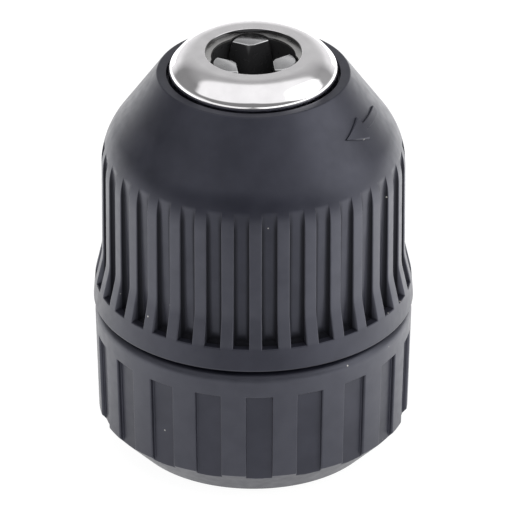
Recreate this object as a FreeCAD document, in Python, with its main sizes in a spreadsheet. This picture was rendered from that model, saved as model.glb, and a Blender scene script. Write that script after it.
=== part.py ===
import FreeCAD, Part
import math
import os
import re

import Sketcher
from FreeCAD import Placement, Rotation, Vector

# A two-sleeve keyless drill chuck of 10 mm capacity, in millimetres.
# The origin is the centre of the rear end and +Z runs along the axis to the nose.
# Three inclined jaws slide in the body. A split nut, turned by the front sleeve, drives
# their threaded backs and pushes on a ball thrust bearing.

DIMENSIONS = {
    # Whole chuck
    "overall_height": 51.5,
    "running_gap": 0.05,
    "overshoot": 1.0,
    # Jaws: their outer side follows a line inclined to the axis
    "jaw_count": 3,
    "jaw_angle": 15,
    "jaw_radius": 2.7,
    "jaw_line_radius": 5.45,
    "jaw_tail_height": 18.7,
    "jaw_front_height": 50.95,
    "jaw_tip_radius": 2.7,
    "jaw_tip_width": 0.7,
    "jaw_flank_angle": 60,
    "jaw_nose_radius": 2.3,
    "jaw_nose_length": 2.4,
    "passage_end_height": 7.3,
    # Conical thread between the nut and the jaws
    "thread_pitch": 1.6,
    "thread_depth": 0.7,
    "thread_root_gap": 0.15,
    "thread_side_gap": 0.14,
    "ridge_crest_width": 0.4,
    "ridge_root_width": 0.9,
    "jaw_groove_count": 17,
    "jaw_groove_height": 44.8,
    "jaw_groove_curve": 9.0,
    "thread_overshoot": 0.3,
    "nut_thread_lead_in": 12.5,
    # Body
    "body_rear_height": 0.4,
    "spindle_radius": 4.7625,
    "spindle_depth_height": 15.0,
    "screw_radius": 2.6,
    "bore_floor_height": 24.0,
    "bore_radius": 5.05,
    "mouth_radius": 5.9,
    "mouth_sink": 0.12,
    "tail_radius": 11.0,
    "tail_height": 13.3,
    "flange_radius": 15.3,
    "flange_base_height": 17.8,
    "flange_top_height": 23.3,
    "neck_radius": 8.6,
    "neck_top_height": 36.5,
    "guide_radius": 10.4,
    "seat_base_height": 45.3,
    "seat_radius": 7.9,
    "seat_top_height": 51.0,
    # Nose ring
    "ring_base_height": 47.8,
    "ring_radius": 10.07,
    "ring_cone_angle": 39.4,
    "ring_edge_round": 1.4,
    "ring_face_radius": 7.0,
    "ring_face_round": 3.0,
    "aperture_radius": 5.75,
    "aperture_round": 0.12,
    # Front sleeve
    "front_base_height": 18.5,
    "front_base_radius": 19.15,
    "front_base_round": 0.35,
    "flare_low_height": 21.6,
    "flare_low_radius": 18.93,
    "flare_top_height": 25.2,
    "grip_radius": 18.13,
    "shoulder_base_height": 36.4,
    "shoulder_round": 9.1,
    "shoulder_angle": 35,
    "lip_height": 48.75,
    "lip_bore_radius": 10.35,
    "ledge_radius": 8.2,
    "ledge_base_height": 45.5,
    "ledge_top_height": 47.6,
    "guide_bore_radius": 10.7,
    "cavity_radius": 15.65,
    "cavity_shoulder_height": 37.8,
    "cavity_top_height": 43.9,
    "slot_count": 34,
    "slot_width": 1.83,
    "slot_phase": 6.1,
    "slot_base_height": 21.5,
    "slot_base_radius": 17.2,
    "slot_top_height": 41.0,
    "slot_top_radius": 17.7,
    # Rear sleeve
    "rear_top_height": 18.05,
    "rear_top_radius": 18.98,
    "rear_top_round": 1.2,
    "rear_low_radius": 18.55,
    "rear_chamfer": 3.98,
    "rear_cavity_radius": 16.9,
    "rear_web": 2.4,
    "rear_wall_foot_radius": 14.4,
    "hub_radius": 12.5,
    "hub_height": 7.0,
    "recess_count": 19,
    "recess_width": 3.1,
    "recess_depth": 0.55,
    "recess_top_height": 14.9,
    "recess_phase": 1.6,
    # Nut, its band and the thrust bearing
    "nut_base_height": 27.3,
    "nut_top_height": 36.3,
    "nut_radius": 15.0,
    "nut_blank_bore": 8.7,
    "nut_thread_turns": 8.5,
    "nut_split": 0.12,
    "band_end_gap": 1.0,
    "race_bore_radius": 13.3,
    "race_thickness": 1.4,
    "race_groove_radius": 0.85,
    "ball_radius": 0.8,
    "ball_count": 15,
    "ball_pitch_radius": 14.3,
    "cage_bore_radius": 13.2,
    "cage_radius": 15.4,
    "cage_thickness": 0.6,
    "cage_pocket_radius": 0.86,
}

FIRST_JAW_ANGLE = 90

document = FreeCAD.newDocument("drill_chuck")
sheet = document.addObject("Spreadsheet::Sheet", "dims")
for row, (alias, size) in enumerate(DIMENSIONS.items(), start=1):
    sheet.set("A%d" % row, alias)
    sheet.set("B%d" % row, str(size))
    sheet.setAlias("B%d" % row, alias)
document.recompute()

sub_parts = []


# Expressions and sketches

def bound(text):
    """The expression that reads the named dimensions in text from the sheet."""
    def with_sheet(word):
        return "dims." + word.group() if word.group() in DIMENSIONS else word.group()
    return re.sub(r"[a-z_]+", with_sheet, text)


def value(text):
    """The present value of an expression."""
    return float(sheet.evalExpression(bound(text)))


def jaw_line(height):
    """Radius of the line that the jaws' outer side follows, at a height."""
    return "(jaw_line_radius + (overall_height - (%s)) * tan(jaw_angle))" % height


def jaw_axis(height):
    """Radius of a jaw's own axis at a height."""
    return "(%s - jaw_radius / cos(jaw_angle))" % jaw_line(height)


def new_body(label):
    body = document.addObject("PartDesign::Body", label)
    body.Label = label
    sub_parts.append(body)
    return body


def new_sketch(body, name, role, offset=None):
    """A sketch on one of the body's origin planes, moved by offset in that plane's own axes."""
    sketch = body.newObject("Sketcher::SketchObject", name)
    plane = next(item for item in body.Origin.OriginFeatures if item.Role == role)
    sketch.AttachmentSupport = [(plane, "")]
    sketch.MapMode = "FlatFace"
    if offset is not None:
        sketch.AttachmentOffset = offset
    return sketch


def bind_constraint(sketch, kind, *places_and_size):
    *places, size = places_and_size
    index = sketch.addConstraint(Sketcher.Constraint(kind, *places, value(size)))
    sketch.setExpression("Constraints[%d]" % index, bound(size))


def place_point(sketch, geometry, end, across, up):
    """Holds one end of a sketch line at (across, up) from the sketch's origin."""
    bind_constraint(sketch, "DistanceX", -1, 1, geometry, end, across)
    bind_constraint(sketch, "DistanceY", -1, 1, geometry, end, up)


def arc_edge(start, finish, centre, radius):
    """The short arc from start to finish, and which of its own ends lies at start."""
    from_angle = math.atan2(start.y - centre.y, start.x - centre.x)
    to_angle = math.atan2(finish.y - centre.y, finish.x - centre.x)
    turn = (to_angle - from_angle) % (2 * math.pi)
    circle = Part.Circle(centre, Vector(0, 0, 1), radius)
    if turn < math.pi:
        return Part.ArcOfCircle(circle, from_angle, from_angle + turn), 1
    return Part.ArcOfCircle(circle, to_angle, to_angle + 2 * math.pi - turn), 2


def draw_outline(sketch, corners, arcs=None):
    """A closed outline. A side numbered in arcs is an arc: (radius, centre across, centre up)."""
    arcs = arcs or {}
    points = [Vector(value(across), value(up), 0) for across, up in corners]
    starts = []
    for side, start in enumerate(points):
        finish = points[(side + 1) % len(points)]
        edge, start_end = Part.LineSegment(start, finish), 1
        if side in arcs:
            radius, across, up = arcs[side]
            edge, start_end = arc_edge(start, finish, Vector(value(across), value(up), 0), value(radius))
        starts.append((sketch.addGeometry(edge, False), start_end))
    for side, (geometry, end) in enumerate(starts):
        following, following_end = starts[(side + 1) % len(starts)]
        sketch.addConstraint(Sketcher.Constraint("Coincident", geometry, 3 - end, following, following_end))
        place_point(sketch, geometry, end, *corners[side])
        if side in arcs:
            bind_constraint(sketch, "Radius", geometry, arcs[side][0])


def draw_circle(sketch, across, up, radius):
    circle = Part.Circle(Vector(value(across), value(up), 0), Vector(0, 0, 1), value(radius))
    geometry = sketch.addGeometry(circle, False)
    place_point(sketch, geometry, 3, across, up)
    bind_constraint(sketch, "Radius", geometry, radius)


# Features

def turned(body, corners, arcs=None):
    """The solid that an outline in the XZ plane makes when it is turned about Z."""
    sketch = new_sketch(body, body.Label + "_outline", "XZ_Plane")
    draw_outline(sketch, corners, arcs)
    feature = body.newObject("PartDesign::Revolution", body.Label + "_turned")
    feature.Profile = sketch
    feature.ReferenceAxis = (sketch, ["V_Axis"])
    feature.Angle = 360
    document.recompute()
    return feature


def finish_cut(body, feature, before):
    """Recomputes a cut and stops if it took nothing away."""
    document.recompute()
    if not body.Shape.Volume < before - 1e-6:
        raise RuntimeError("%s cuts nothing" % feature.Name)
    return feature


def pocket(body, sketch, length=None, along_normal=False):
    """Cuts the sketch away: for length one way, or through everything both ways."""
    before = body.Shape.Volume
    feature = body.newObject("PartDesign::Pocket", sketch.Name + "_cut")
    feature.Profile = sketch
    if length is None:
        feature.SideType = "Symmetric"
        feature.Type = "ThroughAll"
    else:
        feature.Type = "Length"
        feature.Reversed = along_normal
        feature.setExpression("Length", bound(length))
    return finish_cut(body, feature, before)


def slot_cut(body, name, corners, width):
    """Cuts an outline in the XZ plane away, over a width centred on that plane, on its +X side."""
    before = body.Shape.Volume
    sketch = new_sketch(body, name, "XZ_Plane")
    draw_outline(sketch, corners)
    feature = body.newObject("PartDesign::Pocket", name + "_cut")
    feature.Profile = sketch
    feature.SideType = "Symmetric"
    feature.Type = "Length"
    feature.setExpression("Length", bound(width))
    return finish_cut(body, feature, before), sketch


def groove(body, sketch, axis):
    before = body.Shape.Volume
    feature = body.newObject("PartDesign::Groove", sketch.Name + "_groove")
    feature.Profile = sketch
    feature.ReferenceAxis = (sketch, [axis])
    feature.Angle = 360
    return finish_cut(body, feature, before)


def repeat_round(body, feature, axis_sketch, count):
    """Repeats a cut evenly round Z."""
    before = body.Shape.Volume
    pattern = body.newObject("PartDesign::PolarPattern", feature.Name + "_round")
    pattern.Originals = [feature]
    pattern.Axis = (axis_sketch, ["V_Axis"])
    pattern.Angle = 360
    pattern.setExpression("Occurrences", bound(count))
    body.Tip = pattern
    return finish_cut(body, pattern, before)


def turn_body(body, angle):
    """Turns a finished body round Z, from where it was drawn to where it belongs."""
    body.Placement = Placement(Vector(), Rotation(Vector(0, 0, 1), angle))


def inclined_plane(height):
    """Moves an XY sketch onto the jaw's axis at a height and square to it."""
    place = Vector(value(jaw_axis(height)), 0, value(height))
    return Placement(place, Rotation(Vector(0, 1, 0), -value("jaw_angle")))


# The body and the nose ring

def make_chuck_body():
    body = new_body("chuck_body")
    turn = turned(body, [
        ("spindle_radius", "body_rear_height"),
        ("tail_radius", "body_rear_height"),
        ("tail_radius", "tail_height"),
        ("flange_radius", "flange_base_height"),
        ("flange_radius", "flange_top_height"),
        ("neck_radius", "flange_top_height"),
        ("neck_radius", "neck_top_height"),
        ("guide_radius", "neck_top_height"),
        ("guide_radius", "seat_base_height"),
        ("seat_radius", "seat_base_height"),
        ("seat_radius", "seat_top_height"),
        ("mouth_radius", "seat_top_height"),
        ("bore_radius", "seat_top_height - mouth_sink"),
        ("bore_radius", "bore_floor_height"),
        ("screw_radius", "bore_floor_height"),
        ("screw_radius", "spindle_depth_height"),
        ("spindle_radius", "spindle_depth_height"),
    ])
    sketch = new_sketch(body, "jaw_passage", "XY_Plane", inclined_plane("passage_end_height"))
    draw_circle(sketch, "0", "0", "jaw_radius + running_gap")
    length = "(overall_height - passage_end_height) / cos(jaw_angle) + 2 * jaw_radius"
    passage = pocket(body, sketch, length, True)
    repeat_round(body, passage, turn.Profile[0], "jaw_count")
    turn_body(body, FIRST_JAW_ANGLE)


def make_nose_piece():
    """The ring is pressed on the body's seat. Its cone runs smoothly into the side and into the face."""
    foot_radius = "(ring_radius - ring_edge_round * (1 - cos(ring_cone_angle)))"
    head_radius = "(ring_face_radius + ring_face_round * cos(ring_cone_angle))"
    head_height = "(overall_height - ring_face_round * (1 - sin(ring_cone_angle)))"
    foot_height = "(%s - (%s - %s) / tan(ring_cone_angle))" % (head_height, foot_radius, head_radius)
    edge_height = "(%s - ring_edge_round * sin(ring_cone_angle))" % foot_height
    turned(new_body("nose_piece"), [
        ("seat_radius", "ring_base_height"),
        ("ring_radius", "ring_base_height"),
        ("ring_radius", edge_height),
        (foot_radius, foot_height),
        (head_radius, head_height),
        ("ring_face_radius", "overall_height"),
        ("aperture_radius + aperture_round", "overall_height"),
        ("aperture_radius", "overall_height - aperture_round"),
        ("aperture_radius", "seat_top_height"),
        ("seat_radius", "seat_top_height"),
    ], {
        2: ("ring_edge_round", "ring_radius - ring_edge_round", edge_height),
        4: ("ring_face_round", "ring_face_radius", "overall_height - ring_face_round"),
    })


# The two sleeves

def make_front_sleeve():
    body = new_body("front_sleeve")
    base_round_radius = "front_base_radius - front_base_round"
    base_round_height = "front_base_height + front_base_round"
    tangent_radius = "grip_radius - shoulder_round * (1 - cos(shoulder_angle))"
    tangent_height = "shoulder_base_height + shoulder_round * sin(shoulder_angle)"
    cone_run = "(lip_height - (%s)) * tan(shoulder_angle)" % tangent_height
    turn = turned(body, [
        ("cavity_radius", "front_base_height"),
        (base_round_radius, "front_base_height"),
        ("front_base_radius", base_round_height),
        ("flare_low_radius", "flare_low_height"),
        ("grip_radius", "flare_top_height"),
        ("grip_radius", "shoulder_base_height"),
        (tangent_radius, tangent_height),
        ("%s - %s" % (tangent_radius, cone_run), "lip_height"),
        ("lip_bore_radius", "lip_height"),
        ("lip_bore_radius", "ledge_top_height"),
        ("ledge_radius", "ledge_top_height"),
        ("ledge_radius", "ledge_base_height"),
        ("guide_bore_radius", "ledge_base_height"),
        ("guide_bore_radius", "cavity_top_height"),
        ("cavity_radius", "cavity_shoulder_height"),
    ], {
        1: ("front_base_round", base_round_radius, base_round_height),
        5: ("shoulder_round", "grip_radius - shoulder_round", "shoulder_base_height"),
    })
    slot, sketch = slot_cut(body, "slot", [
        ("slot_base_radius", "slot_base_height"),
        ("front_base_radius + overshoot", "slot_base_height"),
        ("front_base_radius + overshoot", "slot_top_height"),
        ("slot_top_radius", "slot_top_height"),
    ], "slot_width")
    repeat_round(body, slot, turn.Profile[0], "slot_count")
    turn_body(body, value("slot_phase"))


def make_rear_sleeve():
    body = new_body("rear_sleeve")
    top_round_height = "rear_top_height - rear_top_round"
    turn = turned(body, [
        ("tail_radius", "0"),
        ("rear_low_radius - rear_chamfer", "0"),
        ("rear_low_radius", "rear_chamfer"),
        ("rear_top_radius", top_round_height),
        ("rear_top_radius - rear_top_round", "rear_top_height"),
        ("rear_cavity_radius", "rear_top_height"),
        ("rear_cavity_radius", "rear_web + rear_cavity_radius - rear_wall_foot_radius"),
        ("rear_wall_foot_radius", "rear_web"),
        ("hub_radius", "rear_web"),
        ("hub_radius", "hub_height"),
        ("tail_radius", "hub_height"),
    ], {3: ("rear_top_round", "rear_top_radius - rear_top_round", top_round_height)})
    draft = "(rear_top_radius - rear_low_radius) / (rear_top_height - rear_top_round - rear_chamfer)"
    floor = "(rear_low_radius - recess_depth)"
    recess, sketch = slot_cut(body, "recess", [
        ("%s - rear_chamfer / 2 * %s" % (floor, draft), "rear_chamfer / 2"),
        ("rear_top_radius + overshoot", "rear_chamfer / 2"),
        ("rear_top_radius + overshoot", "recess_top_height"),
        ("%s + (recess_top_height - rear_chamfer) * %s" % (floor, draft), "recess_top_height"),
    ], "recess_width")
    repeat_round(body, recess, turn.Profile[0], "recess_count")
    turn_body(body, value("recess_phase"))


# The jaws

RIDGE_FLANK = "(ridge_root_width - ridge_crest_width) / 2 / (thread_depth + thread_root_gap)"


def make_jaw(number):
    """A jaw is made on the +X side and then turned to its place round the chuck."""
    body = new_body("jaw_%d" % (number + 1))
    blank = new_sketch(body, "%s_blank" % body.Label, "XY_Plane", inclined_plane("jaw_tail_height"))
    draw_circle(blank, "0", "0", "jaw_radius")
    pad = body.newObject("PartDesign::Pad", "%s_rod" % body.Label)
    pad.Profile = blank
    pad.setExpression("Length", bound("(jaw_front_height - jaw_tail_height) / cos(jaw_angle) + jaw_radius"))
    document.recompute()
    cut_jaw_nose(body)
    cut_jaw_grip(body)
    cut_jaw_front(body)
    cut_jaw_thread(body, blank, number)
    turn_body(body, FIRST_JAW_ANGLE + number * 360 / value("jaw_count"))


def cut_jaw_nose(body):
    """A taper round the jaw's own axis at its front end."""
    place = inclined_plane("jaw_front_height")
    tilt = Rotation(Vector(0, 0, 1), value("jaw_angle"))
    sketch = new_sketch(body, "%s_nose" % body.Label, "XZ_Plane", Placement(
        Vector(place.Base.x, place.Base.z, 0), tilt))
    draw_outline(sketch, [
        ("jaw_radius", "0 - jaw_nose_length"),
        ("jaw_radius + overshoot", "0 - jaw_nose_length"),
        ("jaw_radius + overshoot", "jaw_radius * 2"),
        ("jaw_nose_radius", "jaw_radius * 2"),
        ("jaw_nose_radius", "0"),
    ])
    groove(body, sketch, "V_Axis")


def cut_jaw_grip(body):
    """Two flanks and a narrow flat tip, all parallel to the chuck's axis, grip the tool."""
    sketch = new_sketch(body, "%s_grip" % body.Label, "XY_Plane")
    flank = "(jaw_radius + overshoot)"
    side = "jaw_tip_width / 2 + %s * sin(jaw_flank_angle)" % flank
    flank_end = "jaw_tip_radius + %s * cos(jaw_flank_angle)" % flank
    draw_outline(sketch, [
        ("jaw_tip_radius", "jaw_tip_width / 2"),
        (flank_end, side),
        ("0 - jaw_radius * 2", side),
        ("0 - jaw_radius * 2", "0 - (%s)" % side),
        (flank_end, "0 - (%s)" % side),
        ("jaw_tip_radius", "0 - jaw_tip_width / 2"),
    ])
    pocket(body, sketch)


def cut_jaw_front(body):
    """The front end is square to the chuck's axis."""
    sketch = new_sketch(body, "%s_front" % body.Label, "XY_Plane", Placement(
        Vector(0, 0, value("jaw_front_height")), Rotation()))
    draw_circle(sketch, jaw_axis("jaw_front_height"), "0", "jaw_radius * 3")
    pocket(body, sketch, "jaw_radius * 3", True)


def cut_jaw_thread(body, blank, number):
    """Grooves across the back, tilted by the thread's lead, each jaw's a third of a pitch on."""
    top = "jaw_groove_height + thread_pitch * %d / jaw_count" % number
    lead = math.degrees(math.atan(value("thread_pitch / (nut_radius + neck_radius)") / math.pi))
    sketch = new_sketch(body, "%s_tooth_gap" % body.Label, "XZ_Plane", Placement(
        Vector(0, value(top), 0), Rotation(Vector(1, 0, 0), lead)))
    line = jaw_line(top)
    slope = "tan(jaw_angle)"
    floor_half = "(ridge_crest_width / 2 + thread_side_gap)"
    floor_drop = "(thread_depth + thread_root_gap)"
    mouth_half = "(%s + (%s + overshoot) * %s)" % (floor_half, floor_drop, RIDGE_FLANK)
    draw_outline(sketch, [
        ("%s - %s + %s * %s" % (line, floor_drop, floor_half, slope), "0 - %s" % floor_half),
        ("%s + overshoot + %s * %s" % (line, mouth_half, slope), "0 - %s" % mouth_half),
        ("%s + overshoot - %s * %s" % (line, mouth_half, slope), mouth_half),
        ("%s - %s - %s * %s" % (line, floor_drop, floor_half, slope), floor_half),
    ])
    centre = value("%s - %s - jaw_groove_curve" % (line, floor_drop))
    axis = sketch.addGeometry(Part.LineSegment(Vector(centre, -1, 0), Vector(centre, 1, 0)), True)
    place_point(sketch, axis, 1, "%s - %s - jaw_groove_curve" % (line, floor_drop), "0 - 1")
    place_point(sketch, axis, 2, "%s - %s - jaw_groove_curve" % (line, floor_drop), "1")
    first = groove(body, sketch, "Axis0")
    before = body.Shape.Volume
    pattern = body.newObject("PartDesign::LinearPattern", "%s_thread" % body.Label)
    pattern.Originals = [first]
    pattern.Direction = (blank, ["N_Axis"])
    pattern.Reversed = True
    pattern.setExpression("Occurrences", bound("jaw_groove_count"))
    pattern.setExpression("Length", bound("(jaw_groove_count - 1) * thread_pitch / cos(jaw_angle)"))
    body.Tip = pattern
    finish_cut(body, pattern, before)


# The nut and its band

def make_nut_half(label, side):
    """Half of a ring whose conical bore carries the thread ridge; side is +1 or -1 along Y."""
    body = new_body(label)
    turned(body, [
        ("nut_blank_bore", "nut_base_height"),
        ("nut_radius", "nut_base_height"),
        ("nut_radius", "nut_top_height"),
        ("nut_blank_bore", "nut_top_height"),
    ])
    cut_nut_thread(body)
    cut_nut_cone(body)
    sketch = new_sketch(body, "%s_split" % label, "XY_Plane")
    near = "0 + %g * nut_split / 2" % side
    far = "0 - %g * (nut_radius + overshoot)" % side
    draw_outline(sketch, [
        ("0 - nut_radius - overshoot", near),
        ("nut_radius + overshoot", near),
        ("nut_radius + overshoot", far),
        ("0 - nut_radius - overshoot", far),
    ])
    pocket(body, sketch)


def cut_nut_thread(body):
    """The gap between the ridge's turns winds up the cone, in step with the grooves in the jaws."""
    before = body.Shape.Volume
    start = "(jaw_groove_height - thread_pitch * (nut_thread_lead_in + %g / 360))" % FIRST_JAW_ANGLE
    sketch = new_sketch(body, "%s_thread_gap" % body.Label, "XZ_Plane")
    gap_depth = "(thread_root_gap + thread_depth + thread_overshoot)"
    root_line = "(%s + thread_root_gap)" % jaw_line(start)
    inner_line = "(%s - %s)" % (root_line, gap_depth)
    root_half = "((thread_pitch - ridge_root_width) / 2)"
    inner_half = "(%s + %s * %s)" % (root_half, gap_depth, RIDGE_FLANK)
    draw_outline(sketch, [
        ("%s + %s * tan(jaw_angle)" % (root_line, root_half), "%s - %s" % (start, root_half)),
        ("%s - %s * tan(jaw_angle)" % (root_line, root_half), "%s + %s" % (start, root_half)),
        ("%s - %s * tan(jaw_angle)" % (inner_line, inner_half), "%s + %s" % (start, inner_half)),
        ("%s + %s * tan(jaw_angle)" % (inner_line, inner_half), "%s - %s" % (start, inner_half)),
    ])
    feature = body.newObject("PartDesign::SubtractiveHelix", "%s_thread" % body.Label)
    feature.Profile = sketch
    feature.ReferenceAxis = (sketch, ["V_Axis"])
    feature.Mode = "pitch-turns-angle"
    feature.setExpression("Pitch", bound("thread_pitch"))
    feature.setExpression("Turns", bound("nut_thread_turns"))
    feature.setExpression("Angle", bound("0 - jaw_angle"))
    finish_cut(body, feature, before)


def cut_nut_cone(body):
    """The conical bore, cut last, leaves the ridge's crest between the turns of the gap."""
    sketch = new_sketch(body, "%s_cone" % body.Label, "XZ_Plane")
    low = "nut_base_height - thread_pitch"
    high = "nut_top_height + thread_pitch"
    draw_outline(sketch, [
        ("neck_radius / 2", low),
        ("%s - thread_depth" % jaw_line(low), low),
        ("%s - thread_depth" % jaw_line(high), high),
        ("neck_radius / 2", high),
    ])
    groove(body, sketch, "V_Axis")


def make_ring(label, inner, outer, base, top):
    body = new_body(label)
    turn = turned(body, [(inner, base), (outer, base), (outer, top), (inner, top)])
    return body, turn


def make_nut_band():
    """The pressed steel band that holds the two halves of the nut together."""
    make_ring("nut_band", "nut_radius", "cavity_radius",
              "nut_base_height + band_end_gap", "nut_top_height - band_end_gap")


# The thrust bearing

BALL_HEIGHT = "((flange_top_height + nut_base_height) / 2)"


def make_race(label, base, top):
    """A washer with a shallow round track for the balls."""
    body, turn = make_ring(label, "race_bore_radius", "flange_radius", base, top)
    sketch = new_sketch(body, "%s_track" % label, "XZ_Plane")
    draw_circle(sketch, "ball_pitch_radius", BALL_HEIGHT, "race_groove_radius")
    groove(body, sketch, "V_Axis")


def make_ball_cage():
    middle = BALL_HEIGHT
    body, turn = make_ring("ball_cage", "cage_bore_radius", "cage_radius",
                           "%s - cage_thickness / 2" % middle, "%s + cage_thickness / 2" % middle)
    sketch = new_sketch(body, "cage_pocket", "XY_Plane")
    draw_circle(sketch, "ball_pitch_radius", "0", "cage_pocket_radius")
    hole = pocket(body, sketch)
    repeat_round(body, hole, turn.Profile[0], "ball_count")


def make_ball(number):
    ball = document.addObject("Part::Sphere", "bearing_ball_%02d" % (number + 1))
    ball.Label = ball.Name
    ball.setExpression("Radius", bound("ball_radius"))
    turn = "%d * 360 / ball_count" % number
    ball.setExpression("Placement.Base.x", bound("ball_pitch_radius * cos(%s)" % turn))
    ball.setExpression("Placement.Base.y", bound("ball_pitch_radius * sin(%s)" % turn))
    ball.setExpression("Placement.Base.z", bound(BALL_HEIGHT))
    sub_parts.append(ball)


def check_and_export():
    """Stops on any failed object or bad shape, then writes each sub-part to its own file."""
    document.recompute()
    for item in document.Objects:
        if "Invalid" in item.State or "Error" in item.State:
            raise RuntimeError("%s failed: %s" % (item.Name, item.State))
    for part in sub_parts:
        if part.Shape.isNull() or not part.Shape.isValid():
            raise RuntimeError("%s has a bad shape" % part.Label)
        box = part.Shape.optimalBoundingBox()
        ends = (box.XMin, box.XMax, box.YMin, box.YMax, box.ZMin, box.ZMax)
        print("%-16s %8.1f mm3, %d solid," % (part.Label, part.Shape.Volume, len(part.Shape.Solids)), end=" ")
        print("x %.2f to %.2f, y %.2f to %.2f, z %.2f to %.2f" % ends)
    os.makedirs("parts", exist_ok=True)
    for part in sub_parts:
        part.Shape.exportStep("parts/%s.step" % part.Label)


make_chuck_body()
make_nose_piece()
make_front_sleeve()
make_rear_sleeve()
for jaw_number in range(DIMENSIONS["jaw_count"]):
    make_jaw(jaw_number)
make_nut_half("nut_half_a", 1)
make_nut_half("nut_half_b", -1)
make_nut_band()
make_race("rear_race", "flange_top_height", "flange_top_height + race_thickness")
make_race("front_race", "nut_base_height - race_thickness", "nut_base_height")
make_ball_cage()
for ball_number in range(DIMENSIONS["ball_count"]):
    make_ball(ball_number)
check_and_export()
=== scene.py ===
import math

import bmesh
import bpy
from mathutils import Matrix, Vector


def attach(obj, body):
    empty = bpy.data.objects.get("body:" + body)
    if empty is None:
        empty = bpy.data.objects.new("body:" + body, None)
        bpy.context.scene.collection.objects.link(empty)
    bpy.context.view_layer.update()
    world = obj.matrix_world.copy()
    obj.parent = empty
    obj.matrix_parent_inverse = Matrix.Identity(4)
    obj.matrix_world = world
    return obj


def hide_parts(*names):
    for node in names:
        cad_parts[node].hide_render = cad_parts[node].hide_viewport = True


# A two-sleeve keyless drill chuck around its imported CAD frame.
# Sizes are in millimetres, as in the CAD, and MM turns them into Blender's metres.

MM = 0.001
TURN = 2 * math.pi

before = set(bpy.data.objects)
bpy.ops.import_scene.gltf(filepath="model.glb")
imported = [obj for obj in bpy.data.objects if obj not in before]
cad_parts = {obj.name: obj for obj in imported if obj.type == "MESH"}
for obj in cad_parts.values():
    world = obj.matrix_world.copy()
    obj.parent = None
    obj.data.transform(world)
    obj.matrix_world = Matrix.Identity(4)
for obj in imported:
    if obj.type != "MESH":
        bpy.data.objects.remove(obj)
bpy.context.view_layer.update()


# Outlines and turned shapes

FILLET_STEPS_PER_MM = 3
ROW_GAP = 1e-4
SLOPE_REACH = 0.004


def fillet(before, corner, after, radius, steps):
    """The arc of a given radius that rounds a corner of an outline, as (point, tangent) pairs."""
    back = (before - corner).normalized()
    ahead = (after - corner).normalized()
    half = back.angle(ahead) / 2
    centre = corner + (back + ahead).normalized() * radius / math.sin(half)
    start = corner + back * radius / math.tan(half) - centre
    finish = corner + ahead * radius / math.tan(half) - centre
    arc = []
    for step in range(steps + 1):
        part = step / steps
        spoke = start.normalized().slerp(finish.normalized(), part) * radius
        arc.append((centre + spoke, (-back).slerp(ahead, part)))
    return arc


def rounded(corners, steps=5):
    """A closed outline through corners, each a (radius, height, fillet radius)."""
    places = [Vector(corner[:2]) for corner in corners]
    outline = []
    for index, place in enumerate(places):
        radius = corners[index][2]
        after = places[(index + 1) % len(places)]
        arc_steps = max(steps, round(radius * FILLET_STEPS_PER_MM))
        outline += fillet(places[index - 1], place, after, radius, arc_steps)
    return outline


def with_rows(outline, heights, least_radius):
    """Adds a point wherever the outer side of an outline crosses one of the heights."""
    result = []
    for index, (point, tangent) in enumerate(outline):
        result.append((point, tangent))
        after, after_tangent = outline[(index + 1) % len(outline)]
        if max(point.x, after.x) < least_radius:
            continue
        low, high = sorted((point.y, after.y))
        inside = [height for height in heights if low + ROW_GAP < height < high - ROW_GAP]
        for height in sorted(inside, reverse=point.y > after.y):
            part = (height - point.y) / (after.y - point.y)
            result.append((point.lerp(after, part), tangent.lerp(after_tangent, part)))
    return result


def plain(radius, height, angle):
    """The relief of an uncut surface."""
    return radius


def surface_normal(relief, point, tangent, angle):
    """The outward direction where relief has moved the turned surface."""
    step = tangent.normalized() * SLOPE_REACH
    turn = SLOPE_REACH / point.x
    above = relief(point.x + step.x, point.y + step.y, angle)
    below = relief(point.x - step.x, point.y - step.y, angle)
    further = relief(point.x, point.y, angle + turn)
    nearer = relief(point.x, point.y, angle - turn)
    outward = Vector((2 * step.y, -(further - nearer) * step.y / SLOPE_REACH, below - above)).normalized()
    return Matrix.Rotation(angle, 3, "Z") @ outward


def lathe(name, outline, angles, relief=plain):
    """A closed ring swept from an outline; relief(radius, height, angle) gives the radius of a point."""
    count = len(outline)
    places = []
    normals = []
    for angle in angles:
        for point, tangent in outline:
            radius = relief(point.x, point.y, angle) * MM
            places.append((radius * math.cos(angle), radius * math.sin(angle), point.y * MM))
            normals.append(surface_normal(relief, point, tangent, angle))
    faces = []
    for column in range(len(angles)):
        here = column * count
        there = (column + 1) % len(angles) * count
        for row in range(count):
            above = (row + 1) % count
            faces.append((here + row, there + row, there + above, here + above))
    piece = mesh_piece(name, places, faces)
    piece.data.normals_split_custom_set_from_vertices(normals)
    return piece


def mesh_piece(name, places, faces):
    """A smooth-shaded object whose faces look outwards."""
    mesh = bpy.data.meshes.new(name)
    mesh.from_pydata(places, [], faces)
    clean = bmesh.new()
    clean.from_mesh(mesh)
    bmesh.ops.recalc_face_normals(clean, faces=clean.faces)
    clean.to_mesh(mesh)
    clean.free()
    mesh.shade_smooth()
    piece = bpy.data.objects.new(name, mesh)
    bpy.context.scene.collection.objects.link(piece)
    return piece


def even_angles(count):
    return [TURN * index / count for index in range(count)]


# Cuts with rounded edges

CUT_STEPS = (-1.0, -0.7, -0.4, -0.15, 0.0)
FLOOR_STEPS = (0.02, 0.12, 0.35, 0.65, 1.0)


def edge_places(rim_round, floor_round):
    """Distances into a cut, from the start of its rounded rim to the end of its rounded floor corner."""
    return [step * rim_round for step in CUT_STEPS] + [step * floor_round for step in FLOOR_STEPS]


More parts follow.
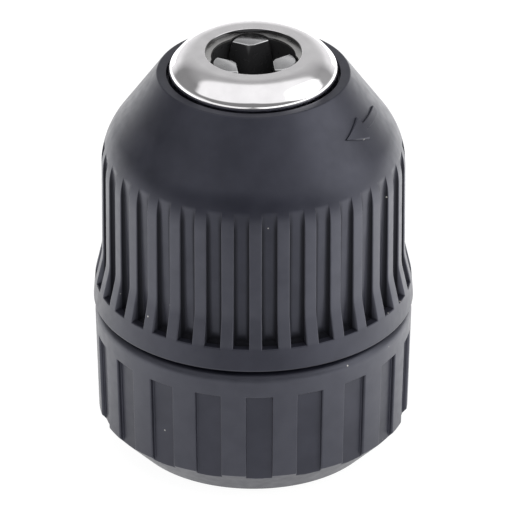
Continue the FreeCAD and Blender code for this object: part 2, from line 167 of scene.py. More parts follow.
def drop(inward, depth, rim_round, floor_round):
    """How far a cut's surface has dropped at a distance inward from its wall."""
    fit = min(1.0, depth / (rim_round + floor_round))
    rim = rim_round * fit
    corner = floor_round * fit
    if inward <= -rim:
        return 0.0
    if inward <= 0:
        return rim - math.sqrt(max(0.0, rim ** 2 - (inward + rim) ** 2))
    if inward >= corner:
        return depth
    return depth - corner + math.sqrt(max(0.0, corner ** 2 - (corner - inward) ** 2))


def cut_angles(count, phase, width, radius, rim_round, floor_round, extra):
    """Columns for evenly spaced cuts: dense at the walls, with extra ones at the given offsets."""
    offsets = set(extra)
    for inward in edge_places(rim_round, floor_round):
        offsets.add(width / 2 - inward)
    signed = sorted({side * offset for offset in offsets for side in (-1, 1)})
    angles = []
    for index in range(count):
        middle = phase + TURN * index / count
        angles += [middle + offset / radius for offset in signed]
    return angles


def off_middle(angle, phase, count):
    """Signed angle from the nearest of the evenly spaced middles."""
    pitch = TURN / count
    return (angle - phase + pitch / 2) % pitch - pitch / 2


# Front sleeve

SLOT_COUNT = 34
SLOT_PHASE = math.radians(6.1)
SLOT_WIDTH = 1.83
SLOT_BASE = 21.5
SLOT_TOP = 41.0
SLOT_BASE_RADIUS = 17.2
SLOT_TOP_RADIUS = 17.7
GRIP_RADIUS = 18.13
SLOT_RIM_ROUND = 0.16
SLOT_FLOOR_ROUND = 0.45
RUN_OUT_DEPTH = 0.15
FRONT_OUTLINE = [
    (15.65, 18.5, 0.2),
    (19.15, 18.5, 0.35),
    (18.93, 21.6, 4.0),
    (18.13, 25.2, 6.0),
    (18.13, 39.27, 9.1),
    (11.49, 48.75, 0.25),
    (10.35, 48.75, 0.15),
    (10.35, 47.6, 0.1),
    (8.2, 47.6, 0.1),
    (8.2, 45.5, 0.1),
    (10.7, 45.5, 0.1),
    (10.7, 43.9, 0.5),
    (15.65, 37.8, 0.5),
]
OUTER_SIDE = 16.0
SLOT_ROWS = [22.5, 23.5, 26.5, 29.0, 31.5, 34.0]
RUN_OUT_ROWS = [36.4 + 0.3 * step for step in range(20)]
SLOT_COLUMNS = (0.2, 1.3, 1.55)


def slot_relief(radius, height, angle):
    """Square-ended slots whose floors rise to run out in the shoulder."""
    if radius < OUTER_SIDE or height < SLOT_BASE - SLOT_RIM_ROUND:
        return radius
    rise = (height - SLOT_BASE) / (SLOT_TOP - SLOT_BASE)
    floor = SLOT_BASE_RADIUS + rise * (SLOT_TOP_RADIUS - SLOT_BASE_RADIUS)
    depth = radius - floor
    if depth <= 0:
        return radius
    depth = depth ** 2 / (2 * RUN_OUT_DEPTH) if depth < RUN_OUT_DEPTH else depth - RUN_OUT_DEPTH / 2
    sideways = SLOT_WIDTH / 2 - abs(off_middle(angle, SLOT_PHASE, SLOT_COUNT)) * GRIP_RADIUS
    upwards = height - SLOT_BASE
    side_drop = drop(sideways, depth, SLOT_RIM_ROUND, SLOT_FLOOR_ROUND)
    return radius - min(side_drop, drop(upwards, depth, SLOT_RIM_ROUND, SLOT_FLOOR_ROUND))


def make_front_sleeve():
    rows = [SLOT_BASE + inward for inward in edge_places(SLOT_RIM_ROUND, SLOT_FLOOR_ROUND)]
    outline = with_rows(rounded(FRONT_OUTLINE), rows + SLOT_ROWS + RUN_OUT_ROWS, OUTER_SIDE)
    angles = cut_angles(SLOT_COUNT, SLOT_PHASE, SLOT_WIDTH, GRIP_RADIUS,
                        SLOT_RIM_ROUND, SLOT_FLOOR_ROUND, SLOT_COLUMNS)
    sleeve = lathe("front_sleeve_moulding", outline, angles, slot_relief)
    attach(sleeve, "front_sleeve_group")
    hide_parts("front_sleeve")
    return sleeve


# Rear sleeve

RECESS_COUNT = 19
RECESS_WIDTH = 3.1
RECESS_DEPTH = 0.55
RECESS_TOP = 14.9
RECESS_PHASE = math.radians(1.6)
RECESS_RIM_ROUND = 0.18
RECESS_FLOOR_ROUND = 0.12
SKIRT_RADIUS = 18.55
SKIRT_BASE = 3.98
REAR_TOP = 18.05
REAR_TOP_RADIUS = 18.98
SKIRT_DRAFT = (REAR_TOP_RADIUS - SKIRT_RADIUS) / (REAR_TOP - SKIRT_BASE)
REAR_OUTLINE = [
    (11.0, 0.0, 0.15),
    (SKIRT_RADIUS - SKIRT_BASE, 0.0, 0.25),
    (SKIRT_RADIUS, SKIRT_BASE, 0.2),
    (REAR_TOP_RADIUS, REAR_TOP, 1.2),
    (16.9, REAR_TOP, 0.05),
    (16.9, 4.9, 0.5),
    (14.4, 2.4, 0.5),
    (12.5, 2.4, 0.3),
    (12.5, 7.0, 0.2),
    (11.0, 7.0, 0.2),
]
CHAMFER_ROWS = [SKIRT_BASE - RECESS_DEPTH + rise for rise in (-0.1, 0.0, 0.06, 0.15, 0.3)]
RECESS_ROWS = [6.0, 9.0, 12.0]
RECESS_COLUMNS = (0.4, 0.9, 2.1, 2.7)


def recess_relief(radius, height, angle):
    """Flat-floored recesses that end square at the top and run out through the chamfer."""
    if radius < OUTER_SIDE or height > RECESS_TOP + RECESS_RIM_ROUND:
        return radius
    offset = off_middle(angle, RECESS_PHASE, RECESS_COUNT)
    floor = SKIRT_RADIUS - RECESS_DEPTH + (height - SKIRT_BASE) * SKIRT_DRAFT
    depth = radius - floor / math.cos(offset)
    if depth <= 0:
        return radius
    sideways = RECESS_WIDTH / 2 - abs(offset) * SKIRT_RADIUS
    downwards = RECESS_TOP - height
    side_drop = drop(sideways, depth, RECESS_RIM_ROUND, RECESS_FLOOR_ROUND)
    return radius - min(side_drop, drop(downwards, depth, RECESS_RIM_ROUND, RECESS_FLOOR_ROUND))


def make_rear_sleeve():
    rows = [RECESS_TOP - inward for inward in edge_places(RECESS_RIM_ROUND, RECESS_FLOOR_ROUND)]
    outline = with_rows(rounded(REAR_OUTLINE), rows + CHAMFER_ROWS + RECESS_ROWS, OUTER_SIDE)
    angles = cut_angles(RECESS_COUNT, RECESS_PHASE, RECESS_WIDTH, SKIRT_RADIUS,
                        RECESS_RIM_ROUND, RECESS_FLOOR_ROUND, RECESS_COLUMNS)
    sleeve = lathe("rear_sleeve_moulding", outline, angles, recess_relief)
    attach(sleeve, "body")
    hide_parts("rear_sleeve")
    return sleeve


# Nose ring

NOSE_OUTLINE = [
    (7.9, 47.8, 0.1),
    (10.07, 47.8, 0.2),
    (10.07, 49.5, 1.4),
    (8.42, 51.5, 3.0),
    (5.75, 51.5, 0.12),
    (5.75, 51.0, 0.05),
    (7.9, 51.0, 0.1),
]
NOSE_COLUMNS = 256
NOSE_FILLET_STEPS = 8


def make_nose_ring():
    ring = lathe("nose_ring_turned", rounded(NOSE_OUTLINE, NOSE_FILLET_STEPS), even_angles(NOSE_COLUMNS))
    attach(ring, "body")
    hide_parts("nose_piece")
    return ring


# Jaws with ground edges

JAW_EDGE = 0.12
JAW_EDGE_STEPS = 2
JAW_EDGE_ANGLE = math.radians(35)
JAW_FLAT_ANGLE = math.radians(1)
JAW_WELD = 0.0005


def make_jaw(name):
    """The CAD jaw with each sharp edge slightly rounded."""
    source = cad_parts[name]
    mesh = source.data.copy()
    piece = bpy.data.objects.new(name + "_ground", mesh)
    bpy.context.scene.collection.objects.link(piece)
    clean = bmesh.new()
    clean.from_mesh(mesh)
    bmesh.ops.remove_doubles(clean, verts=clean.verts, dist=JAW_WELD * MM)
    bmesh.ops.dissolve_limit(clean, angle_limit=JAW_FLAT_ANGLE, verts=clean.verts, edges=clean.edges)
    clean.to_mesh(mesh)
    clean.free()
    bevel = piece.modifiers.new("edges", "BEVEL")
    bevel.width = JAW_EDGE * MM
    bevel.segments = JAW_EDGE_STEPS
    bevel.limit_method = "ANGLE"
    bevel.angle_limit = JAW_EDGE_ANGLE
    bevel.use_clamp_overlap = False
    bevel.harden_normals = True
    mesh.shade_smooth()
    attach(piece, name)
    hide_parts(name)
    return piece


# Spindle thread, 3/8 inch by 24 turns per inch

THREAD_PITCH = 25.4 / 24
THREAD_ROOT = 4.76
THREAD_CREST = 4.33
THREAD_START = 1.0
THREAD_TURNS = 12.4
THREAD_STEPS = 72
THREAD_HALF_BASE = 0.4
THREAD_HALF_CREST = 0.08
THREAD_LEAST = 0.02


def make_spindle_thread():
    """A ridge wound up the spindle hole, running out at both ends."""
    steps = round(THREAD_TURNS * THREAD_STEPS)
    run_out = THREAD_STEPS / 4
    places = []
    for step in range(steps + 1):
        angle = TURN * step / THREAD_STEPS
        height = THREAD_START + THREAD_PITCH * step / THREAD_STEPS
        fade = min(1.0, step / run_out, (steps - step) / run_out)
        crest = THREAD_ROOT - (THREAD_ROOT - THREAD_CREST) * max(fade, THREAD_LEAST)
        section = (
            (THREAD_ROOT, -THREAD_HALF_BASE),
            (crest, -THREAD_HALF_CREST),
            (crest, THREAD_HALF_CREST),
            (THREAD_ROOT, THREAD_HALF_BASE),
        )
        for radius, offset in section:
            level = (height + offset) * MM
            places.append((radius * MM * math.cos(angle), radius * MM * math.sin(angle), level))
    size = len(section)
    last = size * steps
    faces = [tuple(range(size)), tuple(last + side for side in reversed(range(size)))]
    for step in range(steps):
        here = size * step
        for side in range(size):
            following = (side + 1) % size
            faces.append((here + side, here + following, here + size + following, here + size + side))
    thread = mesh_piece("spindle_thread_ridge", places, faces)
    thread.data.shade_flat()
    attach(thread, "body")
    return thread


# Direction arrow on the shoulder

ARROW_FROM = math.radians(-12)
ARROW_TO = math.radians(-46)
ARROW_HEIGHT = 44.6
ARROW_HALF_WIDTH = 0.5
ARROW_HEAD_HALF_WIDTH = 1.5
ARROW_HEAD_START = 0.58
ARROW_PROUD = 0.25
ARROW_TIP_HALF_WIDTH = 0.02
ARROW_SHAFT_STEPS = 16
ARROW_HEAD_STEPS = 12
ARROW_STEP_BACK = 0.001
ARROW_SECTION = ((-1.0, -0.1), (-1.0, 0.6), (-0.86, 1.0), (0.86, 1.0), (1.0, 0.6), (1.0, -0.1))
SHOULDER_LEAN = math.radians(35)
LIP_RADIUS = 11.49
LIP_HEIGHT = 48.75


def shoulder_place(angle, along_slope, proud):
    """A point on the shoulder's cone: along_slope is up it from the arrow's middle line."""
    height = ARROW_HEIGHT + along_slope * math.cos(SHOULDER_LEAN) + proud * math.sin(SHOULDER_LEAN)
    radius = LIP_RADIUS + (LIP_HEIGHT - ARROW_HEIGHT) * math.tan(SHOULDER_LEAN)
    radius += proud * math.cos(SHOULDER_LEAN) - along_slope * math.sin(SHOULDER_LEAN)
    return radius * MM * math.cos(angle), radius * MM * math.sin(angle), height * MM


def arrow_half_width(part):
    if part < ARROW_HEAD_START:
        return ARROW_HALF_WIDTH
    return ARROW_HEAD_HALF_WIDTH * (1 - part) / (1 - ARROW_HEAD_START) + ARROW_TIP_HALF_WIDTH


def make_arrow():
    """A plain raised arrow that shows which way the sleeve closes the jaws."""
    head_start = ARROW_HEAD_START + ARROW_STEP_BACK
    parts = [ARROW_HEAD_START * step / ARROW_SHAFT_STEPS for step in range(ARROW_SHAFT_STEPS + 1)]
    parts += [head_start + (1 - head_start) * step / ARROW_HEAD_STEPS for step in range(ARROW_HEAD_STEPS + 1)]
    places = []
    for part in parts:
        angle = ARROW_FROM + (ARROW_TO - ARROW_FROM) * part
        half = arrow_half_width(part)
        for across, proud in ARROW_SECTION:
            places.append(shoulder_place(angle, across * half, proud * ARROW_PROUD))
    size = len(ARROW_SECTION)
    last = (len(parts) - 1) * size
    faces = [tuple(range(size)), tuple(last + side for side in reversed(range(size)))]
    for step in range(len(parts) - 1):
        for side in range(size):
            following = (side + 1) % size
            here = step * size
            faces.append((here + side, here + following, here + size + following, here + size + side))
    arrow = mesh_piece("release_arrow", places, faces)
    arrow.data.shade_flat()
    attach(arrow, "front_sleeve_group")
    return arrow


# Shader helpers

NOISE_SPAN = (0.3, 0.7)
WHITE = (1.0, 1.0, 1.0, 1.0)


def new_material(name):
    material = bpy.data.materials.new(name)
    material.use_nodes = True
    tree = material.node_tree
    return material, tree, tree.nodes["Principled BSDF"]


def node(tree, kind, **settings):
    made = tree.nodes.new(kind)
    for key, setting in settings.items():
        if key in made.inputs:
            made.inputs[key].default_value = setting
        else:
            setattr(made, key, setting)
    return made


def maths(tree, operation, first, second=0.0):
    made = node(tree, "ShaderNodeMath", operation=operation)
    for socket, source in zip(made.inputs, (first, second)):
        if isinstance(source, (int, float)):
            socket.default_value = source
        else:
            tree.links.new(source, socket)
    return made.outputs[0]


def product(tree, first, *others):
    for other in others:
        first = maths(tree, "MULTIPLY", first, other)
    return first


def spread(tree, source, low, high, out_low, out_high):
    """Maps a value from one range onto another."""
    made = node(tree, "ShaderNodeMapRange")
    for socket, amount in zip(("From Min", "From Max", "To Min", "To Max"), (low, high, out_low, out_high)):
        made.inputs[socket].default_value = amount
    tree.links.new(source, made.inputs["Value"])
    return made.outputs["Result"]


def rising(tree, source, span):
    """Goes from 0 to 1 as the source crosses a span."""
    return spread(tree, source, *span, 0.0, 1.0)


def falling(tree, source, span):
    """Goes from 1 to 0 as the source crosses a span."""
    return spread(tree, source, *span, 1.0, 0.0)


def mix_values(tree, factor, first, second):
    made = node(tree, "ShaderNodeMix", data_type="FLOAT")
    for index, source in ((0, factor), (2, first), (3, second)):
        if isinstance(source, (int, float)):
            made.inputs[index].default_value = source
        else:
            tree.links.new(source, made.inputs[index])
    return made.outputs[0]


def blend_colours(tree, factor, first, second):
    made = node(tree, "ShaderNodeMix", data_type="RGBA")
    tree.links.new(factor, made.inputs["Factor"])
    for index, colour in ((6, first), (7, second)):
        if isinstance(colour, tuple):
            made.inputs[index].default_value = (*colour, 1.0)
        else:
            tree.links.new(colour, made.inputs[index])
    return made.outputs[2]


def along(tree, source, direction):
    """How far a vector reaches along a direction."""
    made = node(tree, "ShaderNodeVectorMath", operation="DOT_PRODUCT")
    tree.links.new(source, made.inputs[0])
    made.inputs[1].default_value = direction
    return made.outputs["Value"]


def own_place(tree):
    return node(tree, "ShaderNodeTexCoord").outputs["Object"]


def axes_of(tree, vector):
    axes = node(tree, "ShaderNodeSeparateXYZ")
    tree.links.new(vector, axes.inputs["Vector"])
    return axes.outputs


def upward(tree):
    """How far the surface faces up, from -1 to 1."""
    return axes_of(tree, node(tree, "ShaderNodeNewGeometry").outputs["Normal"])["Z"]


def height_of(tree):
    """Height above the bench in millimetres."""
    return maths(tree, "DIVIDE", axes_of(tree, own_place(tree))["Z"], MM)


def radius_of(tree):
    """Distance from the chuck's axis in millimetres."""
    flat = node(tree, "ShaderNodeVectorMath", operation="MULTIPLY")
    flat.inputs[1].default_value = (1.0 / MM, 1.0 / MM, 0.0)
    length = node(tree, "ShaderNodeVectorMath", operation="LENGTH")
    tree.links.new(own_place(tree), flat.inputs[0])
    tree.links.new(flat.outputs["Vector"], length.inputs[0])
    return length.outputs["Value"]


def noise(tree, scale, detail=3.0, roughness=0.5):
    """Noise over the piece's own place; scale is in features per metre."""
    made = node(tree, "ShaderNodeTexNoise", Scale=scale, Detail=detail, Roughness=roughness)
    tree.links.new(own_place(tree), made.inputs["Vector"])
    return made.outputs["Fac"]


def varied(tree, low, high, scale, detail=3.0, roughness=0.5):
    """Noise that runs from low to high."""
    return spread(tree, noise(tree, scale, detail, roughness), *NOISE_SPAN, low, high)


def add_bump(tree, shader, source, distance_mm, strength, below=None):
    bump = node(tree, "ShaderNodeBump", Strength=strength, Distance=distance_mm * MM)
    tree.links.new(source, bump.inputs["Height"])
    if below is not None:
        tree.links.new(below, bump.inputs["Normal"])
    tree.links.new(bump.outputs["Normal"], shader.inputs["Normal"])
    return bump.outputs["Normal"]


# Sleeve nylon; the spans are radii, heights and distances in millimetres

NYLON_DARK = (0.0105, 0.011, 0.018)
NYLON_LIGHT = (0.019, 0.0195, 0.029)
NYLON_RUBBED = (0.040, 0.041, 0.052)
# painted shade: the colour of the slot walls and slot feet
NYLON_SLOT_SHADE = (0.004, 0.004, 0.006)
NYLON_GLOSS_TINT = (0.88, 0.90, 1.05, 1.0)
NYLON_ROUGHNESS = (0.34, 0.42)
# roughness under the painted slot shade, which dulls its reflections
SLOT_SHADE_ROUGHNESS = 0.85
MOTTLE_SPAN = (0.35, 0.65)
RUB_PATCH_SPAN = (0.3, 0.6)
RUB_PATCH_LEAST = 0.65
DUST_COLOUR = (0.55, 0.54, 0.5)
DUST_CELLS = 420.0
DUST_SIZE = (0.03, 0.055)
DUST_SHARE = (0.35, 0.351)
RIB_FACE_RADII = (17.8, 18.0)
RIB_FOOT_HEIGHTS = (21.4, 21.8)
RIB_TOP_HEIGHTS = (36.5, 40.5)
REAR_FACE_RADII = (18.05, 18.25)
REAR_EDGE_HEIGHTS = (17.3, 17.9)
# where the painted slot shade lies: off the slot middle, and above the slot foot and below its top
SHADE_SIDE_OFFSETS = (0.35, 0.75)
SHADE_FOOT_HEIGHTS = (21.9, 22.8)
SHADE_TOP_HEIGHTS = (37.0, 39.5)
SLOT_WALL_OFFSETS = (0.92, 0.98)
SLOT_FOOT_HEIGHTS = (21.4, 21.5)
BELOW_FACE_RADII = (17.95, 18.08)


def dust(tree):
    """Small pale specks: one cell in three holds one, and few of those lie on a surface."""
    cells = node(tree, "ShaderNodeTexVoronoi", Scale=DUST_CELLS)
    tree.links.new(own_place(tree), cells.inputs["Vector"])
    chosen = node(tree, "ShaderNodeSeparateColor")
    tree.links.new(cells.outputs["Color"], chosen.inputs["Color"])
    speck = falling(tree, cells.outputs["Distance"], DUST_SIZE)
    return product(tree, speck, falling(tree, chosen.outputs["Red"], DUST_SHARE))


def handled(tree):
    """1 on the proud faces that hands rub, which are the ribs of both sleeves."""
    radius = radius_of(tree)
    height = height_of(tree)
    front = product(tree, rising(tree, radius, RIB_FACE_RADII), rising(tree, height, RIB_FOOT_HEIGHTS),
                    falling(tree, height, RIB_TOP_HEIGHTS))
    undrafted = maths(tree, "SUBTRACT", radius, product(tree, height, SKIRT_DRAFT))
    rear = product(tree, rising(tree, undrafted, REAR_FACE_RADII), falling(tree, height, REAR_EDGE_HEIGHTS))
    return maths(tree, "ADD", front, rear)


def slot_offset(tree):
    """Distance around the sleeve from the middle of the nearest slot."""
    axes = axes_of(tree, own_place(tree))
    around = maths(tree, "SUBTRACT", maths(tree, "ARCTAN2", axes["Y"], axes["X"]), SLOT_PHASE)
    pitches = maths(tree, "ADD", product(tree, around, SLOT_COUNT / TURN), 0.5)
    part = maths(tree, "ABSOLUTE", maths(tree, "SUBTRACT", maths(tree, "FRACT", pitches), 0.5))
    return product(tree, part, TURN / SLOT_COUNT * GRIP_RADIUS)


def painted_slot_shade(tree):
    """1 where shade is painted: along the walls and at the foot of each slot."""
    offset = slot_offset(tree)
    height = height_of(tree)
    sides = rising(tree, offset, SHADE_SIDE_OFFSETS)
    either = maths(tree, "MAXIMUM", sides, falling(tree, height, SHADE_FOOT_HEIGHTS))
    return product(tree, either, falling(tree, radius_of(tree), BELOW_FACE_RADII),
                   falling(tree, offset, SLOT_WALL_OFFSETS), rising(tree, height, SLOT_FOOT_HEIGHTS),
                   falling(tree, height, SHADE_TOP_HEIGHTS))


def sleeve_plastic():
    """Dark moulded nylon with a fine grain: mottled, paler where hands rub it, and with painted shade, darker
    and rougher, along the walls and at the foot of each slot.
    """
    material, tree, shader = new_material("sleeve_plastic_moulded")
    shader.inputs["Specular Tint"].default_value = NYLON_GLOSS_TINT
    mottle = rising(tree, noise(tree, 260.0, 4.0), MOTTLE_SPAN)
    colour = blend_colours(tree, mottle, NYLON_DARK, NYLON_LIGHT)
    patches = spread(tree, noise(tree, 420.0, 5.0), *RUB_PATCH_SPAN, RUB_PATCH_LEAST, 1.0)
    colour = blend_colours(tree, product(tree, handled(tree), patches), colour, NYLON_RUBBED)
    # painted shade along the slot walls and feet: darker colour and higher roughness
    slot_shade = painted_slot_shade(tree)
    colour = blend_colours(tree, slot_shade, colour, NYLON_SLOT_SHADE)
    colour = blend_colours(tree, dust(tree), colour, DUST_COLOUR)
    tree.links.new(colour, shader.inputs["Base Color"])
    clean = varied(tree, *NYLON_ROUGHNESS, 900.0)
    tree.links.new(mix_values(tree, slot_shade, clean, SLOT_SHADE_ROUGHNESS), shader.inputs["Roughness"])
    coarse = add_bump(tree, shader, noise(tree, 1500.0, 2.0), 0.01, 0.25)
    add_bump(tree, shader, noise(tree, 9000.0, 3.0, 0.6), 0.006, 0.3, coarse)
    return material


# Steels and the cage's nylon

PLATE_DARK = (0.79, 0.775, 0.79)
PLATE_LIGHT = (0.855, 0.84, 0.855)
# painted shade: dark grey on the aperture's inner wall, within the radii below
PAINTED_MOUTH_SHADE = (0.09, 0.09, 0.092)
PAINTED_MOUTH_SHADE_RADII = (5.76, 5.8)
FLAT_END_FACING = (0.8, 0.97)
PLATE_ROUGHNESS = (0.09, 0.26)
MARKS_PER_MM = 8
WAVES_PER_MARK = 300
# black oxide in the body's bore, and painted shade on the jaws' flanks
BLACK_OXIDE_AND_SHADE = (0.045, 0.045, 0.047)
BLACK_OXIDE_AND_SHADE_METALLIC = 0.2
SCRATCH_SCALES = (9000.0, 9000.0, 500.0)
BORE_FOOT_HEIGHTS = (17.0, 21.0)
BORE_RIM_HEIGHTS = (50.6, 50.75)
PASSAGE_RADII = (9.0, 9.2)
JAW_END_FACING = (0.25, 0.45)
CAGE_DARK = (0.62, 0.58, 0.46)
CAGE_LIGHT = (0.74, 0.7, 0.58)


def turned_marks(tree):
    """Fine rings about the chuck's axis, as a cutting tool leaves them."""
    wave = node(tree, "ShaderNodeTexWave", wave_type="RINGS", rings_direction="Z",
                Scale=MARKS_PER_MM * WAVES_PER_MARK, Distortion=0.6, Detail=2.0)
    tree.links.new(own_place(tree), wave.inputs["Vector"])
    return wave.outputs["Fac"]


def bright_steel():
    """Nickel-bright steel: polished on the cone and satin on the flat end, with painted shade on the
    aperture's inner wall.
    """
    material, tree, shader = new_material("nose_steel_polished")
    shader.inputs["Metallic"].default_value = 1.0
    plated = blend_colours(tree, varied(tree, 0.0, 1.0, 500.0), PLATE_DARK, PLATE_LIGHT)
    # painted shade: the aperture's inner wall is coloured dark instead of bright plate
    wall = falling(tree, radius_of(tree), PAINTED_MOUTH_SHADE_RADII)
    tree.links.new(blend_colours(tree, wall, plated, PAINTED_MOUTH_SHADE), shader.inputs["Base Color"])
    satin = spread(tree, upward(tree), *FLAT_END_FACING, *PLATE_ROUGHNESS)
    tree.links.new(satin, shader.inputs["Roughness"])
    marks = add_bump(tree, shader, turned_marks(tree), 0.002, 0.15)
    add_bump(tree, shader, noise(tree, 4000.0, 4.0), 0.002, 0.2, marks)
    return material


def inside_bore(tree):
    """1 on the body's black-oxided bore and jaw passages, between its rear half and its bright front rim."""
    height = height_of(tree)
    return product(tree, rising(tree, height, BORE_FOOT_HEIGHTS), falling(tree, height, BORE_RIM_HEIGHTS),
                   falling(tree, radius_of(tree), PASSAGE_RADII))


def painted_flank_shade(tree):
    """1 on the flanks of a jaw, where shade is painted, and 0 on its ground end."""
    return falling(tree, upward(tree), JAW_END_FACING)


def ground_steel(name, dark, light, low_rough, high_rough, scratch=0.3, oxide_or_shade=None):
    """Machined or ground steel with uneven tone and fine scratches, black where the given mask is 1: black
    oxide in the body's bore, painted shade on the jaws' flanks.
    """
    material, tree, shader = new_material(name)
    shader.inputs["Metallic"].default_value = 1.0
    colour = blend_colours(tree, varied(tree, 0.0, 1.0, 350.0, 5.0, 0.6), dark, light)
    if oxide_or_shade is not None:
        # black oxide or painted shade, as the given mask says
        black = oxide_or_shade(tree)
        colour = blend_colours(tree, black, colour, BLACK_OXIDE_AND_SHADE)
        tree.links.new(mix_values(tree, black, 1.0, BLACK_OXIDE_AND_SHADE_METALLIC), shader.inputs["Metallic"])
    tree.links.new(colour, shader.inputs["Base Color"])
    tree.links.new(varied(tree, low_rough, high_rough, 1400.0, 4.0), shader.inputs["Roughness"])
    stretch = node(tree, "ShaderNodeMapping", Scale=SCRATCH_SCALES)
    lines = node(tree, "ShaderNodeTexNoise", Scale=1.0, Detail=2.0)
    tree.links.new(own_place(tree), stretch.inputs["Vector"])
    tree.links.new(stretch.outputs["Vector"], lines.inputs["Vector"])
    add_bump(tree, shader, lines.outputs["Fac"], 0.004, scratch)
    return material


def cage_nylon():
    """Natural nylon, slightly uneven in tone."""
    material, tree, shader = new_material("cage_nylon")
    colour = blend_colours(tree, varied(tree, 0.0, 1.0, 600.0), CAGE_DARK, CAGE_LIGHT)
    tree.links.new(colour, shader.inputs["Base Color"])
    tree.links.new(varied(tree, 0.35, 0.5, 1500.0), shader.inputs["Roughness"])
    add_bump(tree, shader, noise(tree, 5000.0), 0.004, 0.3)
    return material


def give(material, *pieces):
    for piece in pieces:
        piece.data.materials.clear()
        piece.data.materials.append(material)


def give_cad(material, *names):
    for name in names:
        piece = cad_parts[name]
        while len(piece.material_slots) < 1:
            piece.data.materials.append(material)
        for place in piece.material_slots:
            place.material = material


# Level directions from the chuck: towards the camera, and to the camera's right

CAMERA_AZIMUTH = math.radians(-95.3)
FRONT = (math.cos(CAMERA_AZIMUTH), math.sin(CAMERA_AZIMUTH), 0.0)
RIGHT = (-FRONT[1], FRONT[0], 0.0)


# Floor; its spans and reach are in metres

FLOOR_REACH = 3.0
FLOOR_GAP_MM = 0.02
FLOOR_COLOUR = (0.15, 0.15, 0.15, 1.0)
FRONT_SPAN = (0.06, 0.09)
NEAR_GLOW = 0.95
FRONT_GLOW = 0.25
RIGHT_SPAN = (0.02, 0.06)
RIGHT_GLOW = 1.15
LEFT_SPAN = (-0.06, -0.02)
LEFT_GLOW = 0.75


def make_floor():
    """A lit white sheet: brightest at the sides and dimmer towards the front."""
    mesh = bpy.data.meshes.new("floor")
    level = -FLOOR_GAP_MM * MM
    signs = ((-1, -1), (1, -1), (1, 1), (-1, 1))
    mesh.from_pydata([(x * FLOOR_REACH, y * FLOOR_REACH, level) for x, y in signs], [], [(0, 1, 2, 3)])
    floor = bpy.data.objects.new("floor", mesh)
    bpy.context.scene.collection.objects.link(floor)
    material, tree, shader = new_material("floor_white")
    shader.inputs["Base Color"].default_value = FLOOR_COLOUR
    shader.inputs["Roughness"].default_value = 0.9
    shader.inputs["Specular IOR Level"].default_value = 0.1
    shader.inputs["Emission Color"].default_value = WHITE
    ahead = along(tree, own_place(tree), FRONT)
    right = along(tree, own_place(tree), RIGHT)
    glow = spread(tree, ahead, *FRONT_SPAN, NEAR_GLOW, FRONT_GLOW)
    glow = maths(tree, "ADD", glow, spread(tree, right, *RIGHT_SPAN, 0.0, RIGHT_GLOW))
    glow = maths(tree, "ADD", glow, spread(tree, right, *LEFT_SPAN, LEFT_GLOW, 0.0))
    tree.links.new(glow, shader.inputs["Emission Strength"])
    mesh.materials.append(material)


# Light; the spans are of a unit direction's reach upwards, ahead or to the right

BOX_LIGHT = 1.09
LOW_FRONT_LIGHT = 0.24
BOX_EDGE = (0.61, 0.73)
BOX_SIDE_REACH = 0.28
BOX_RIGHT_REACH = 0.15
BOX_START = (0.46, 0.6)
BOX_START_RIGHT = 0.35
CLOTH_SPAN = (0.25, 0.45)
CLOTH_LIGHT = (0.95, 0.57)
SIDES_SPAN = (0.5, 0.8)
SIDES_LIGHT = (0.27, 0.4)
RIGHT_SIDE_EXTRA = 0.13
SIDES_BACK = (-0.8, -0.62)
SIDES_FOOT = (0.0, 0.15)
LAMP_LIGHT = 2.6
LAMP_EDGE = (0.87, 0.95)
LAMP_DIRECTION = tuple(Vector(FRONT) * 0.15 + Vector(RIGHT) * 0.87 + Vector((0.0, 0.0, 0.46)))


def make_light():
    """A studio tent: a wide box overhead, a strong lamp at the right, grey sides and pale cloth behind."""
    world = bpy.data.worlds.new("studio")
    world.use_nodes = True
    tree = world.node_tree
    sky = tree.nodes["Background"]
    sky.inputs["Color"].default_value = WHITE
    direction = node(tree, "ShaderNodeTexCoord").outputs["Generated"]
    up = along(tree, direction, (0.0, 0.0, 1.0))
    ahead = along(tree, direction, FRONT)
    right = along(tree, direction, RIGHT)
    rightward = maths(tree, "MAXIMUM", right, 0.0)
    reach = product(tree, maths(tree, "ABSOLUTE", right), BOX_SIDE_REACH)
    box_height = maths(tree, "ADD", maths(tree, "ADD", up, reach), product(tree, rightward, BOX_RIGHT_REACH))
    box = spread(tree, box_height, *BOX_EDGE, LOW_FRONT_LIGHT, BOX_LIGHT)
    cloth = spread(tree, up, *CLOTH_SPAN, *CLOTH_LIGHT)
    sides = spread(tree, up, *SIDES_SPAN, *SIDES_LIGHT)
    sides = maths(tree, "ADD", sides, product(tree, rightward, RIGHT_SIDE_EXTRA))
    in_sides = product(tree, rising(tree, ahead, SIDES_BACK), rising(tree, up, SIDES_FOOT))
    behind = mix_values(tree, in_sides, cloth, sides)
    forward = maths(tree, "ADD", maths(tree, "ADD", ahead, up), product(tree, rightward, BOX_START_RIGHT))
    walls = mix_values(tree, rising(tree, forward, BOX_START), behind, box)
    lamp = rising(tree, along(tree, direction, LAMP_DIRECTION), LAMP_EDGE)
    tree.links.new(mix_values(tree, lamp, walls, LAMP_LIGHT), sky.inputs["Strength"])
    bpy.context.scene.world = world


# Camera

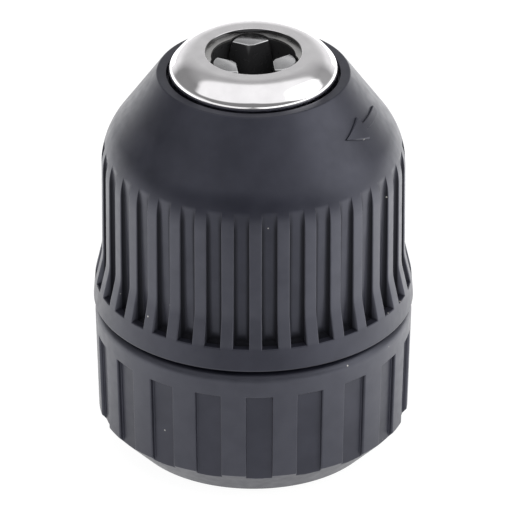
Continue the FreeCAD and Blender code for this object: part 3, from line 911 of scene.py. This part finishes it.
LENS_MM = 885.2
SENSOR_MM = 36.0
CAMERA_DISTANCE = 1500.0
CAMERA_ELEVATION = math.radians(29.0)
AIM_HEIGHT = 23.9
AIM_ASIDE = 0.19
CLIP_END_M = 10.0


def make_camera():
    """The camera stands well back, a little left of the front jaws' middle line."""
    data = bpy.data.cameras.new("camera")
    data.lens = LENS_MM
    data.sensor_width = SENSOR_MM
    data.clip_end = CLIP_END_M
    camera = bpy.data.objects.new("camera", data)
    bpy.context.scene.collection.objects.link(camera)
    level = CAMERA_DISTANCE * math.cos(CAMERA_ELEVATION)
    rise = CAMERA_DISTANCE * math.sin(CAMERA_ELEVATION)
    aim = (Vector((0.0, 0.0, AIM_HEIGHT)) + Vector(RIGHT) * AIM_ASIDE) * MM
    offset = (Vector(FRONT) * level + Vector((0.0, 0.0, rise))) * MM
    camera.location = aim + offset
    camera.rotation_euler = (-offset).to_track_quat("-Z", "Y").to_euler()
    bpy.context.scene.camera = camera


# The whole chuck

JAWS = ("jaw_1", "jaw_2", "jaw_3")
BALLS = [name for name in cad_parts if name.startswith("bearing_ball_")]

plastic = sleeve_plastic()
give(plastic, make_front_sleeve(), make_rear_sleeve(), make_arrow())
give(bright_steel(), make_nose_ring())
# the jaws' flanks get painted shade in black; their ground ends keep the steel's colour
jaw_steel = ground_steel("jaw_steel_ground", (0.4, 0.4, 0.41), (0.56, 0.56, 0.57), 0.16, 0.3,
                         oxide_or_shade=painted_flank_shade)
give(jaw_steel, *map(make_jaw, JAWS))
body_steel = ground_steel("body_steel_machined", (0.42, 0.42, 0.42), (0.58, 0.57, 0.56), 0.25, 0.42,
                          oxide_or_shade=inside_bore)
give(body_steel, make_spindle_thread())
give_cad(body_steel, "chuck_body")
give_cad(ground_steel("nut_steel_oiled", (0.28, 0.27, 0.26), (0.4, 0.39, 0.37), 0.25, 0.4),
         "nut_half_a", "nut_half_b", "nut_band")
give_cad(ground_steel("bearing_steel_polished", (0.62, 0.62, 0.63), (0.7, 0.7, 0.71), 0.08, 0.18, 0.1),
         "rear_race", "front_race", *BALLS)
give_cad(cage_nylon(), "ball_cage")

make_floor()
make_light()
make_camera()
bpy.context.scene.view_settings.view_transform = "Standard"
